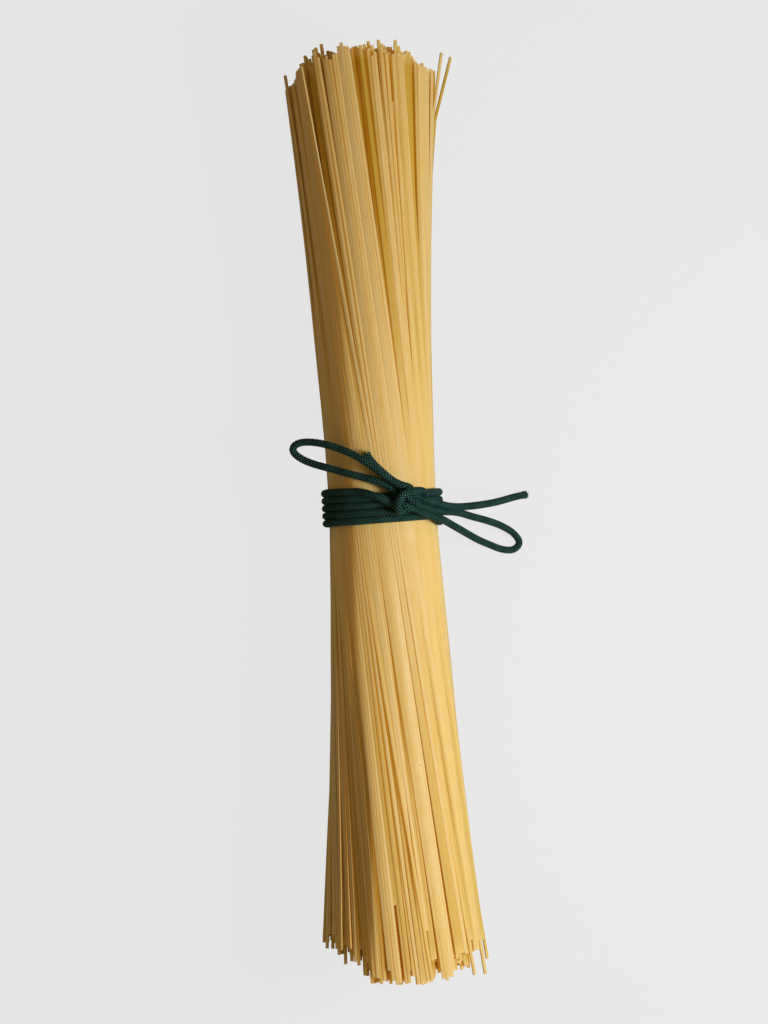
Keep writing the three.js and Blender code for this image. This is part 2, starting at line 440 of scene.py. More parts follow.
# Loose fibres at each cut end: how many, how deep their roots are, how thick they are and how far
# off the floor, then ranges of the area they start from, their lean and their length in millimetres
FIBRES = 60
FIBRE_ROOT = 0.3 * MM
FIBRE_RADIUS = 0.07 * MM
FIBRE_CLEAR = 0.05 * MM
FIBRE_AREA = (0.05, 0.95)
FIBRE_LEAN = (-0.1, 0.8)
FIBRE_LENGTH = (0.4, 1.5)


def travel(line):
    """Distance along a line of points to each of them."""
    return np.concatenate([[0], np.cumsum(np.linalg.norm(np.diff(line, axis=0), axis=1))])


def curve_through(points, step):
    """Even points along a centripetal Catmull-Rom curve through the given points."""
    points = np.asarray(points, float)
    knots = np.vstack([2 * points[0] - points[1], points, 2 * points[-1] - points[-2]])
    gaps = np.maximum(np.linalg.norm(np.diff(knots, axis=0), axis=1), TINY) ** 0.5
    before, start, end, after = knots[:-3], knots[1:-2], knots[2:-1], knots[3:]
    first, middle, last = gaps[:-2, None], gaps[1:-1, None], gaps[2:, None]
    leave = (start - before) / first - (end - before) / (first + middle) + (end - start) / middle
    reach = (end - start) / middle - (after - start) / (middle + last) + (after - end) / last
    leave, reach = leave * middle, reach * middle
    share = np.linspace(0, 1, CURVE_PIECES, endpoint=False)[:, None, None]
    cubic = 2 * start - 2 * end + leave + reach
    square = -3 * start + 3 * end - 2 * leave - reach
    fine = start + share * (leave + share * (square + share * cubic))
    fine = np.vstack([fine.transpose(1, 0, 2).reshape(-1, 3), points[-1]])
    return even_points(fine, step)


def even_points(line, step):
    """Points at even distances along a line of close points."""
    travelled = travel(line)
    places = np.linspace(0, travelled[-1], max(2, round(travelled[-1] / step) + 1))
    return np.stack([np.interp(places, travelled, line[:, axis]) for axis in range(3)], axis=1)


def wrap_points(cord):
    """The turns round the bundle, each one pitch down, with the middle turn level at the left."""
    count = round((WRAP_START - WRAP_STOP) / 360 * WRAP_POINTS_PER_TURN)
    degrees = np.linspace(WRAP_START, WRAP_STOP, count + 1)
    swing = np.radians(degrees)
    radius = WRAP_OUTSIDE - cord.diameter / 2
    level = cord.pitch * (cord.turns // 2 + (degrees + 90) / 360)
    return np.stack([radius * np.sin(swing), level, radius * np.cos(swing)], axis=1)


def settled_cord(line, strands, cord):
    """Presses the cord off itself, off the bundle and off the floor, and keeps it smooth."""
    spacing = np.linalg.norm(line[1] - line[0])
    wanted = line.copy()
    skip = round(CORD_SKIP * cord.diameter / spacing)
    for step in range(SETTLING_ROUNDS):
        if step % SETTLING_LOOKUP == 0:
            gaps = np.linalg.norm(line[:, None] - line[None, :], axis=2)
            first, second = np.nonzero(np.triu(gaps < CORD_REACH * cord.diameter, skip))
        line += CORD_RETURN * (wanted - line)
        smoothing = STRONG_SMOOTHING if step < STRONG_ROUNDS else WEAK_SMOOTHING
        line[1:-1] += smoothing * (line[:-2] + line[2:] - 2 * line[1:-1])
        apart = line[second] - line[first]
        distance = np.maximum(np.linalg.norm(apart, axis=1), TINY)
        overlap = np.maximum(cord.diameter - distance, 0)
        push = apart * (CORD_PUSH * overlap / distance)[:, None]
        for axis in range(3):
            line[:, axis] -= np.bincount(first, push[:, axis], len(line))
            line[:, axis] += np.bincount(second, push[:, axis], len(line))
        out = np.hypot(line[:, 0], line[:, 2] - AXIS_HEIGHT)
        bundle = bundle_radius(strands, cord, line[:, 1])
        inside = np.maximum(bundle + cord.diameter / 2 - out, 0)
        line[:, 0] += inside * line[:, 0] / out
        line[:, 2] += inside * (line[:, 2] - AXIS_HEIGHT) / out
        line[:, 2] = np.maximum(line[:, 2], cord.diameter / 2)
    return line


def braid_height(cord, around, along):
    """Height of the braid from 0 to 1: yarns that wind both ways and pass over and under."""
    right = cord.plaits * around + along / cord.plait_length
    left = cord.plaits * around - along / cord.plait_length
    right_cell, left_cell = np.floor(right), np.floor(left)
    right_part, left_part = right - right_cell - 0.5, left - left_cell - 0.5
    right_on_top = (right_cell + left_cell) % 2 == 0
    across = np.where(right_on_top, right_part, left_part)
    length = np.where(right_on_top, left_part, right_part)
    return (1 - YARN_FALL * across ** 2) * (YARN_MEAN + YARN_RISE * np.cos(np.pi * length))


def carried_frames(line):
    """Two directions across the line at each point, carried along it without turning."""
    ahead = np.gradient(line, axis=0)
    ahead /= np.linalg.norm(ahead, axis=1)[:, None]
    side = np.empty_like(line)
    current = np.cross(ahead[0], (0, 0, 1))
    for index, direction in enumerate(ahead):
        current = current - direction * current.dot(direction)
        current = current / np.linalg.norm(current)
        side[index] = current
    return ahead, side, np.cross(ahead, side)


def cord_mesh(cord, line, sides, rng):
    """A braided tube with flared, frayed ends, and a UV map of turns across and metres along."""
    ahead, side, up = carried_frames(line)
    travelled = travel(line)
    around = np.arange(sides) / sides
    height = braid_height(cord, around[None, :], travelled[:, None])
    to_end = np.minimum(travelled, travelled[-1] - travelled)
    flare = 1 + END_FLARE * (1 - eased(to_end, 0, FLARE_LENGTH))
    radius = (cord.diameter / 2 - cord.relief * (YARN_LEVEL - height)) * flare[:, None]
    swing = 2 * np.pi * around[None, :, None]
    outward = np.cos(swing) * side[:, None] + np.sin(swing) * up[:, None]
    points = line[:, None] + radius[:, :, None] * outward
    for end in (0, -1):
        points[end] += ahead[end] * rng.uniform(-END_UNEVEN, END_UNEVEN, (sides, 1)) * MM
    rings = len(line)
    vertices = np.vstack([points.reshape(-1, 3), line[:1], line[-1:]])

    ring = np.arange(rings - 1)[:, None] * sides
    here, after = np.arange(sides)[None, :], (np.arange(sides)[None, :] + 1) % sides
    corners = [ring + here, ring + after, ring + sides + after, ring + sides + here]
    faces = np.stack(corners, axis=2).reshape(-1, 4)
    last = (rings - 1) * sides
    pairs = list(zip(here[0].tolist(), after[0].tolist()))
    near_cap = [(rings * sides, b, a) for a, b in pairs]
    far_cap = [(rings * sides + 1, last + a, last + b) for a, b in pairs]

    fibres, fibre_faces = frayed_fibres(cord, line, ahead, side, up, rng, len(vertices))
    vertices = np.vstack([vertices, fibres])

    mesh = bpy.data.meshes.new("tie_cord")
    mesh.from_pydata(vertices.tolist(), [], faces.tolist() + near_cap + far_cap + fibre_faces)
    mesh.shade_smooth()

    turn = np.stack([here[0] / sides, (here[0] + 1) / sides], axis=1)
    start, stop = travelled[:-1], travelled[1:]
    coords = np.tile(np.array([0.5 / cord.plaits, 0], np.float32), (len(mesh.loops), 1))
    quads = np.zeros((rings - 1, sides, 4, 2), np.float32)
    quads[..., 0] = turn[None][:, :, [0, 1, 1, 0]]
    quads[..., 1] = np.stack([start, start, stop, stop], axis=1)[:, None]
    coords[:quads.size // 2] = quads.reshape(-1, 2)
    mesh.uv_layers.new(name="braid").data.foreach_set("uv", coords.ravel())
    return mesh


def frayed_fibres(cord, line, ahead, side, up, rng, first_index):
    """Short loose fibres at both cut ends: thin three-sided spikes that fan out a little."""
    vertices, faces = [], []
    for end, sign in ((0, -1), (-1, 1)):
        for _ in range(FIBRES):
            swing = rng.uniform(0, 2 * np.pi)
            across = np.cos(swing) * side[end] + np.sin(swing) * up[end]
            root = line[end] + across * cord.diameter / 2 * np.sqrt(rng.uniform(*FIBRE_AREA))
            lean = sign * ahead[end] + across * rng.uniform(*FIBRE_LEAN)
            tip = root + lean * rng.uniform(*FIBRE_LENGTH) * MM
            tip[2] = max(tip[2], FIBRE_CLEAR)
            base = len(vertices) + first_index
            for corner in range(3):
                turn = 2 * np.pi * corner / 3
                around = np.cos(turn) * side[end] + np.sin(turn) * up[end]
                vertices.append(root - sign * ahead[end] * FIBRE_ROOT + around * FIBRE_RADIUS)
            vertices.append(tip)
            corners = [(0, 1, 3), (1, 2, 3), (2, 0, 3), (2, 1, 0)]
            if sign < 0:
                corners = [corner[::-1] for corner in corners]
            faces.extend(tuple(base + index for index in corner) for corner in corners)
    return np.array(vertices), faces


def braid_pattern(tree, cord, uv):
    """Nodes that give the braid's height from 0 to 1, as braid_height does, finer than the mesh."""
    turns = add_node(tree, "ShaderNodeSeparateXYZ", {"Vector": uv})
    around = worked(tree, "MULTIPLY", turns.outputs["X"], cord.plaits)
    along = worked(tree, "DIVIDE", turns.outputs["Y"], cord.plait_length)
    right, left = worked(tree, "ADD", around, along), worked(tree, "SUBTRACT", around, along)
    cell = worked(tree, "ADD", worked(tree, "FLOOR", right), worked(tree, "FLOOR", left))
    left_on_top = worked(tree, "GREATER_THAN", worked(tree, "FLOORED_MODULO", cell, 2), 0.5)
    right_part = worked(tree, "SUBTRACT", worked(tree, "FRACT", right), 0.5)
    left_part = worked(tree, "SUBTRACT", worked(tree, "FRACT", left), 0.5)
    difference = worked(tree, "SUBTRACT", left_part, right_part)
    swapped = worked(tree, "MULTIPLY", left_on_top, difference)
    across = worked(tree, "ADD", right_part, swapped)
    length = worked(tree, "SUBTRACT", left_part, swapped)
    fall = worked(tree, "MULTIPLY", worked(tree, "MULTIPLY", across, across), YARN_FALL)
    arch = worked(tree, "SUBTRACT", 1, fall)
    wave = worked(tree, "COSINE", worked(tree, "MULTIPLY", length, math.pi))
    hump = worked(tree, "ADD", worked(tree, "MULTIPLY", wave, YARN_RISE), YARN_MEAN)
    return worked(tree, "MULTIPLY", arch, hump)


def cord_material(cord):
    """Waxed braid: green yarns with painted shade, nearly black, between them, and an uneven gloss.
    """
    material, tree, shader = new_material("waxed_braid")
    uv = add_node(tree, "ShaderNodeUVMap", uv_map="braid").outputs["UV"]
    height = braid_pattern(tree, cord, uv)
    fibre_scale = add_node(tree, "ShaderNodeMapping", {"Vector": uv, "Scale": (40, 5000, 1)})
    fibres = add_node(tree, "ShaderNodeTexNoise", {
        "Vector": fibre_scale.outputs["Vector"], "Scale": 1, "Detail": 2}).outputs["Fac"]
    fluff = remapped(tree, fibres, NOISE_RANGE, (0.45, 1.55))
    # Painted shade: the furrows take the nearly black colour, the yarns' tops their own green
    raised = worked(tree, "MULTIPLY", remapped(tree, height, (0.62, 1), (0, 1)), fluff)
    colour = mixed_colour(tree, raised, rgba(cord.painted_furrow_shade), rgba(cord.crest))
    toned = add_node(tree, "ShaderNodeVectorMath", {
        "Vector": colour, "Scale": uneven_tone(tree, 320, 0.7, 1.3)}, operation="SCALE")
    lifted = worked(tree, "ADD", height, worked(tree, "MULTIPLY", fibres, 0.35))
    bump = add_node(tree, "ShaderNodeBump", {
        "Height": lifted, "Strength": 0.8, "Distance": 0.14 * MM})
    set_inputs(tree, shader, {
        "Base Color": toned.outputs["Vector"],
        "Roughness": remapped(tree, height, (0.3, 0.9), (0.65, 0.4)),
        "Normal": bump.outputs["Normal"],
        "Specular IOR Level": 0.15,
        "Specular Tint": (0.45, 1.0, 0.85, 1.0),
    })
    return material


class CAPELLINI_OT_tie_cord(bpy.types.Operator):
    """Lay the tie cord: short end, knot, right loop, turns, band, left loop and long end in one"""

    bl_idname = "capellini.tie_cord"
    bl_label = "Tie Cord"

    def execute(self, context):
        strands, cord = context.scene.capellini_strands, context.scene.capellini_cord
        middle = np.array([0, WRAP_MIDDLE + cord.pitch / 4, AXIS_HEIGHT])
        short_end, long_end = np.array(SHORT_END_RUN) * MM, np.array(LONG_END_RUN) * MM
        route = np.vstack([short_end, wrap_points(cord), long_end]) + middle
        settled = settled_cord(curve_through(route, SETTLING_STEP), strands, cord)
        line = curve_through(settled, MESH_STEP)
        mesh = cord_mesh(cord, line, CORD_SIDES, np.random.default_rng(CORD_SEED))
        piece = link(bpy.data.objects.new("tie_cord", mesh))
        piece.data.materials.append(cord_material(cord))
        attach(piece, "root")
        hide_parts("tie_wrap", "tie_bow")
        return {"FINISHED"}


# Capellini strands

# Under the tie: gaps along a layer and between layers, as shares of the touching distance, and the
# smallest layer's radius and the usual unevenness, as shares of the diameter
ALONG_LAYER = 1.025
BETWEEN_LAYERS = 0.92
SMALLEST_LAYER = 0.6
PACKING_UNEVEN = 0.05

# Pressing apart, under the tie and then along the whole bundle: rounds, how often neighbours are
# looked up, how near they are to count, as a multiple of the diameter, and share of each push
PACKING_ROUNDS, PACKING_LOOKUP, PACKING_REACH, PACKING_PUSH = 120, 12, 1.5, 0.8
LAYING_ROUNDS, LAYING_LOOKUP, LAYING_REACH, LAYING_PUSH = 150, 15, 1.6, 0.7

# Straightening while they are laid: rounds and share of the strong part, share of the rest, and
# from where beside the tie it works
STRAIGHT_ROUNDS = 135
STRONG_STRAIGHT = 0.35
WEAK_STRAIGHT = 0.1
STRAIGHT_FROM = (4 * MM, 30 * MM)

# Stations along the bundle: how many, how far past the ends, and how they crowd to the tie
STATIONS = 19
STATIONS_PAST = 8 * MM
STATIONS_CROWD = 1.25

# Ribbons: strands next to each other keep together, and valleys open between the ribbons towards
# the ends. Above the tie the ribbons go through the outer layers, below it each layer has its own.
RIBBON_SIZES = (2, 2, 3, 3, 4, 5)
VALLEY_SIZES = {1: (2, 2, 3), -1: (1, 2, 2)}
RIBBON_LAYERS = {1: 3, -1: 1}
# How strongly the valleys' strands take the painted shade of the inner colour, at each end
VALLEY_SHADE_PAINT = {1: 1, -1: 0.6}

# Half a ribbon's width in diameters, mean and usual difference of a ribbon's recess, range of the
# valleys' depth, how the layers close up towards the axis, and least distance from it in diameters
RIBBON_HALF = 1.5
RECESS_DRAW = (0.1, 0.55)
VALLEY_DRAW = (0.7, 1.2)
BURIED_POWER = 1.5
LEAST_OUT = 0.1

# Where each change sets in and is full, as shares of the half length from the tie
LEAN_RISE = (0, 0.3)
VALLEY_SHADE_RISE = (0.05, 0.6)
FLAT_RISE = (0.05, 0.3)
RECESS_RISE = (0.05, 0.8)
CROSSER_RISE = (0.1, 0.4)
STRAY_RISE = (0.86, 1.06)
GROOVE_FULL = 1.25

# Wider valleys: which end, degrees from the top at the tip, width in millimetres, share of the half
# length they start at
GROOVES = [
    (1, -42, 0.6, 0.3), (1, -21, 0.6, 0.3), (1, 6, 1.2, 0.35), (1, 105, 1.0, 0.3),
    (1, 150, 1.0, 0.3), (1, -120, 1.0, 0.3), (-1, -28, 0.8, 0.1), (-1, 23, 0.8, 0.4),
    (-1, 115, 1.0, 0.3), (-1, 160, 1.0, 0.4), (-1, -130, 1.0, 0.3),
]
GROOVE_REACH = 5 * MM

# Upper edge of the flat on the left side: place along the bundle in millimetres, degrees from the
# top; then the degrees past it where the flat has sunk in and where it comes out again, and the
# number of layers that sink
FLAT_EDGE = [(-130, -19), (-70, -24), (-40, -34), (20, -30), (60, -30), (130, -52)]
FLAT_IN = (0, 10)
FLAT_OUT = (30, 62)
FLAT_LAYERS = 6

# Strands that stand off the outline: which end, degrees from the top towards +X, how far out at the
# tip, and the tip's place along the bundle
STRAYS = [
    (1, -88, 0.5, 126.6), (1, 84, 4.6, 129.4), (1, 74, 2.4, 129.5), (-1, 84, 0.6, -128.5),
    (-1, 72, 0.3, -131.5), (-1, 55, 0.3, -129.7), (1, 150, 2.4, 127.5), (-1, -140, 2.0, -128.0),
]
STRAY_GIVE = 1.6

# Strands that lie across their neighbours: which end, degrees from the top at that end, sideways
# run at the tip; and their lift off the others, in diameters
CROSSERS = [
    (1, -42, -4.5), (1, 16, 2.5), (-1, -38, -4.0), (-1, 12, 3.0), (1, -120, 7.0),
    (-1, 130, -7.0), (1, 170, 6.0), (-1, -100, 6.0),
]
CROSSER_LIFT = 0.8

# Strands broken short: which end, degrees from the top at that end, how much is missing
BROKEN = [
    (-1, 2, 21.0), (-1, 22, 12.0), (1, 20, 9.0), (-1, -70, 16.0), (1, 110, 15.0), (-1, 165, 20.0),
]

# How the ends draw back at their sides: which end, left or right, how much, and where across the
# end that starts and is full, as shares of its radius
DRAWN_BACK = [
    (1, -1, 5.0, 0.72, 1), (1, 1, 4.2, 0.5, 0.9), (-1, -1, 7.0, 0.3, 0.75),
    (-1, 1, 1.7, 0.25, 0.45), (-1, 1, 5.0, 0.76, 1),
]

# The tips in millimetres: how far each end's middle stays back, the crown across an end, and the
# least that the lower tips stay back
TOP_BACK = 1.7
BOTTOM_BACK = 1.6
END_CROWN = 1.2
BOTTOM_LEAST = 0.9
BOTTOM_RAGGED = 1.5

# Strands that slid along the bundle and strands with a chipped tip: their share, and how far
SLID_SHARE, SLID_REACH = 0.08, 2.4
CHIPPED_SHARE, CHIPPED_REACH = 0.02, (2, 9)

# The strands' looks as mean and usual difference, and how deep below the tie the fine ones go
TONE = (0.55, 0.2)
THICKNESS = (1.04, 0.02)
SHOWN_DEPTH = 3.4
SHOWN_SIDES, HIDDEN_SIDES, HIDDEN_POINTS = 8, 6, 9
TIP_SHARPNESS = math.radians(75)

# Light on the flat: how much less it turns to the +Y end and more to the -Y end, degrees past its
# upper edge where it sets in and ends, and where it fades before the lower tips
FLAT_LESS, FLAT_LESS_FROM = 0.35, (50 * MM, 120 * MM)
FLAT_MORE, FLAT_MORE_FROM = 0.6, (40 * MM, 100 * MM)
FLAT_LIT_IN, FLAT_LIT_OUT = (-2, 4), (30, 75)
FLAT_FADE = (104 * MM, 128 * MM)

# Light on the ridge beside the flat, below the tie: share of the flat's turn, and width in degrees
RIDGE_TURN, RIDGE_WIDTH, RIDGE_FROM = 0.4, 22, (40 * MM, 90 * MM)

# The lower flat: share of the ribbons' lean that it loses, and its evenness
DULL_LEAN, DULL_EVENNESS, DULL_FROM = 0.9, 0.98, (20 * MM, 60 * MM)

# Normals that point further along the bundle than this are cut faces, and a strand's far side is
# turned less, by its own facing
CUT_FACE = 0.7
FACING_GAIN, FACING_START = 2, 0.6


def tied_limit(strands, cord):
    """Distance from the axis of the outermost strands under the tie."""
    return WRAP_OUTSIDE - cord.diameter - strands.diameter / 2


def strand_limits(strands, cord, along):
    """Distance from the axis of the outermost strands at each station, as a column."""
    return (bundle_radius(strands, cord, along) - strands.diameter / 2)[:, None]


def end_share(strands, along, end):
    """How far each station is from the tie towards one end, as a share of the half length."""
    return np.clip(end * (along - WRAP_MIDDLE) / (strands.length / 2), 0, None)


def tight_section(radius, diameter, touching, rng):
    """Places of the strands in the round section under the tie, in layers, and each one's layer."""
    places, layers = [], []
    ring, layer = radius - diameter / 2, 0
    while ring > SMALLEST_LAYER * diameter:
        count = int(2 * np.pi * ring / (ALONG_LAYER * touching))
        swing = rng.uniform(0, 2 * np.pi) + 2 * np.pi * np.arange(count) / count
        places.append(ring * np.stack([np.sin(swing), np.cos(swing)], axis=1))
        layers.append(np.full(count, layer))
        ring, layer = ring - BETWEEN_LAYERS * touching, layer + 1
    places, layers = np.vstack(places), np.concatenate(layers)
    return places + rng.normal(0, PACKING_UNEVEN * diameter, places.shape), layers


def close_pairs(sections, reach):
    """Pairs of strands nearer to each other than reach, at each station."""
    found = []
    for station, places in enumerate(sections):
        gaps = np.square(places[:, None] - places[None, :]).sum(2)
        first, second = np.nonzero(np.triu(gaps < reach * reach, 1))
        found.append((np.full(len(first), station), first, second))
    return [np.concatenate(column) for column in zip(*found)]


def press_apart(sections, pairs, diameter, strength):
    """Moves strands that overlap at a station away from each other."""
    station, first, second = pairs
    apart = sections[station, second] - sections[station, first]
    distance = np.maximum(np.linalg.norm(apart, axis=1), TINY)
    push = apart * (0.5 * strength * np.maximum(diameter - distance, 0) / distance)[:, None]
    count = sections.shape[1]
    for axis in range(2):
        moved = np.bincount(station * count + second, push[:, axis], sections[:, :, 0].size)
        moved -= np.bincount(station * count + first, push[:, axis], sections[:, :, 0].size)
        sections[:, :, axis] += moved.reshape(sections.shape[:2])


def hold_in(sections, limits, floor):
    """Keeps strands inside their distance from the axis, and on the floor."""
    out = np.linalg.norm(sections, axis=2)
    sections *= np.minimum(1, limits / np.maximum(out, TINY))[:, :, None]
    sections[:, :, 1] = np.maximum(sections[:, :, 1], floor)


def packed_section(strands, cord, rng):
    """The section under the tie, pressed apart until the strands touch, and each one's layer."""
    limit, touching = tied_limit(strands, cord), strands.contact * strands.diameter
    tied = WRAP_OUTSIDE - cord.diameter
    tight, layers = tight_section(tied, strands.diameter, touching, rng)
    tight = tight[None]
    for step in range(PACKING_ROUNDS):
        if step % PACKING_LOOKUP == 0:
            pairs = close_pairs(tight, PACKING_REACH * strands.diameter)
        press_apart(tight, pairs, touching, PACKING_PUSH)
        hold_in(tight, limit, -limit)
    return tight[0], layers


def past_flat_edge(along, degrees):
    """Degrees from the upper edge of the flat on the left side to places round the bundle."""
    places, edges = np.transpose(FLAT_EDGE)
    return (np.interp(np.asarray(along) / MM, places, edges) - degrees + 180) % 360 - 180


def ribbons(layers, angles, valley_share, end, rng):
    """Each strand's angle, its ribbon's middle angle and number, and which ribbons are valleys."""
    middle, own = np.empty(len(angles)), np.empty(len(angles))
    number = np.empty(len(angles), int)
    count, valleys = 0, []
    for layer in [0, *range(RIBBON_LAYERS[end], layers.max() + 1)]:
        members = np.nonzero(layers == layer)[0]
        members = np.roll(members[np.argsort(angles[members])], rng.integers(len(members)))
        own[members] = np.unwrap(angles[members])
        edges = [own[members[0]] - np.pi / len(members)]
        while len(members):
            may_sink = layer == 0 and count > 0 and not valleys[-1]
            valleys.append(may_sink and rng.random() < valley_share)
            sizes = VALLEY_SIZES[end] if valleys[-1] else RIBBON_SIZES
            group, members = np.split(members, [rng.choice(sizes)])
            middle[group] = own[group].mean()
            number[group] = count
            edges.append(2 * middle[group[0]] - edges[-1])
            count += 1
        if layer == 0:
            below = np.nonzero((layers > 0) & (layers < RIBBON_LAYERS[end]))[0]
            own[below] = edges[0] + (angles[below] - edges[0]) % (2 * np.pi)
            number[below] = np.clip(np.searchsorted(edges, own[below]) - 1, 0, count - 1)
            middles = (np.array(edges[1:]) + np.array(edges[:-1])) / 2
            middle[below] = middles[number[below]]
    return own, middle, number, np.array(valleys)


def strand_stations(strands):
    """Places along the bundle where the strands are laid out, closer together near the tie."""
    half = strands.length / 2 + STATIONS_PAST
    share = np.linspace(-1, 1, STATIONS)
    return half * np.sign(share) * np.abs(share) ** STATIONS_CROWD


def parted(strands, cord, along, tight, layers, end, rng):
    """Places of the strands at every station, as they part into ribbons towards one end."""
    diameter = strands.diameter
    limit, limits = tied_limit(strands, cord), strand_limits(strands, cord, along)
    share = end_share(strands, along, end)[:, None]
    radius = np.linalg.norm(tight, axis=1)
    angles = np.arctan2(tight[:, 0], tight[:, 1])
    own, middle, number, valleys = ribbons(layers, angles, strands.valley_share, end, rng)
    ribbon_count = number.max() + 1
    tip = end * strands.length / 2
    tip_turn = -math.atan(strands.twist * (tip - strands.neck_place) / strands.neck_radius)
    turn = -np.arctan(strands.twist * (along - strands.neck_place) / strands.neck_radius)[:, None]
    if end > 0:
        deeper, deep, gathered = strands.valley_up, strands.depth_up, strands.gather_up
    else:
        deeper = strands.valley_down * (1 - strands.valley_lean * np.sin(middle + tip_turn))
        deep, gathered = strands.depth_down, strands.gather_down

    recess = np.maximum(rng.normal(*RECESS_DRAW, ribbon_count), 0) * strands.ribbon_recess
    valley_depth = valleys * rng.uniform(*VALLEY_DRAW, ribbon_count)
    sideways = rng.normal(0, strands.ribbon_wander, ribbon_count)[number]
    across = np.clip((own - middle) * radius / (RIBBON_HALF * diameter), -1, 1) * ~valleys[number]
    crown = strands.ribbon_crown * np.square(across)
    recess = recess[number] + valley_depth[number] * deeper + crown
    outer = layers < RIBBON_LAYERS[end]
    recess = np.where(outer, recess, 0)
    tilt = strands.ribbon_turn * across * eased(share, *LEAN_RISE)
    # Painted shade: strands in the valleys and in the layers below the outside take the inner
    # colour, where shade falls between the ribbons
    valley_shade = VALLEY_SHADE_PAINT[end] * valleys[number] * eased(share, *VALLEY_SHADE_RISE)
    inside = np.maximum(np.clip(layers / 2, 0, 1), outer * valley_shade)

    past = past_flat_edge(along[:, None], np.degrees(middle + turn))
    on_flat = eased(past, *FLAT_IN) * (1 - eased(past, *FLAT_OUT))
    flattened = strands.flat * on_flat * np.clip(1 - layers / FLAT_LAYERS, 0, 1)
    sunk = flattened * eased(share, *FLAT_RISE)
    buried = np.clip(1 - radius / limit, 0, 1) ** BURIED_POWER
    depth = (limit - radius) * (1 + share * (deep - 1) + (limits / limit - deep) * buried)
    depth = np.where(share > 0, depth, limit - radius)
    out = limits - depth - recess * eased(share, *RECESS_RISE) - sunk
    out = np.maximum(out, LEAST_OUT * diameter)
    run = (own - middle) * (radius + (1 - gathered) * (out - radius)) + sideways * share
    angle = middle + run / np.maximum(out, diameter)

    for groove_end, degrees, width, start in GROOVES:
        if groove_end == end:
            off = (angle - math.radians(degrees) + tip_turn + np.pi) % (2 * np.pi) - np.pi
            nearness = np.exp(-np.abs(off) * out / GROOVE_REACH)
            opened = width * MM / 2 * nearness * eased(share, start, GROOVE_FULL)
            angle = angle + np.sign(off) * opened * outer / out
    angle = angle + turn
    places = np.stack([out * np.sin(angle), out * np.cos(angle)], axis=2)
    places += share[:, :, None] * rng.normal(0, strands.wander, tight.shape)
    ribbon_shift = rng.normal(0, strands.ribbon_ragged, ribbon_count)[number]
    tip_shift = ribbon_shift + rng.normal(0, strands.ragged, len(tight))
    return places, tilt, inside, tip_shift


def outer_strand(sections, taken, end, degrees):
    """The strand nearest to an angle at one end, of those not taken yet, which it then is."""
    tips = sections[-1 if end > 0 else 0]
    angles = np.degrees(np.arctan2(tips[:, 0], tips[:, 1]))
    off = np.abs((angles - degrees + 180) % 360 - 180)
    strand = int(np.where(taken, np.inf, off).argmin())
    taken[strand] = True
    return strand


def set_out(sections, strand, distance):
    """Moves one strand to a distance from the axis at each station."""
    sections[:, strand] *= (distance / np.linalg.norm(sections[:, strand], axis=1))[:, None]


def stand_off(strands, along, sections, limits, layers):
    """Lays the crossers and the strays, and gives each strand's extra room and the strays' tips."""
    room = np.zeros(sections.shape[:2])
    taken = layers > 0
    for end, degrees, sideways in CROSSERS:
        strand = outer_strand(sections, taken, end, degrees)
        share = end_share(strands, along, end)
        out = sections[:, strand] / np.linalg.norm(sections[:, strand], axis=1)[:, None]
        tangent = np.stack([out[:, 1], -out[:, 0]], axis=1)
        room[:, strand] = CROSSER_LIFT * strands.diameter * eased(share, *CROSSER_RISE)
        sections[:, strand] += tangent * (sideways * MM * share)[:, None]
        set_out(sections, strand, limits[:, 0] + room[:, strand])
    stray_tips = {1: {}, -1: {}}
    for end, degrees, away, tip in STRAYS:
        strand = outer_strand(sections, taken, end, degrees)
        stray_tips[end][strand] = tip * MM
        share = end_share(strands, along, end)
        room[:, strand] = away * MM * eased(share, *STRAY_RISE) * STRAY_GIVE
        set_out(sections, strand, limits[:, 0] + room[:, strand])
    return room, stray_tips


def press_together(strands, along, sections, limits):
    """Presses the laid strands off each other, and keeps them straight, inside and on the floor."""
    floor = strands.diameter / 2 - AXIS_HEIGHT
    touching = strands.contact * strands.diameter
    straightened = eased(np.abs(along - WRAP_MIDDLE), *STRAIGHT_FROM)[1:-1, None, None]
    before, after = np.diff(along)[:-1, None, None], np.diff(along)[1:, None, None]
    for step in range(LAYING_ROUNDS):
        if step % LAYING_LOOKUP == 0:
            pairs = close_pairs(sections, LAYING_REACH * strands.diameter)
        press_apart(sections, pairs, touching, LAYING_PUSH)
        straight = (sections[:-2] * after + sections[2:] * before) / (before + after)
        share = STRONG_STRAIGHT if step < STRAIGHT_ROUNDS else WEAK_STRAIGHT
        sections[1:-1] += share * straightened * (straight - sections[1:-1])
        hold_in(sections, limits, floor)


def drawn_back(end, across):
    """How far strands at places across an end, from -1 at the left to 1, stay back there."""
    back = np.zeros(len(across))
    for drawn_end, side, amount, start, full in DRAWN_BACK:
        if drawn_end == end:
            back += amount * eased(side * across, start, full)
    return back * MM


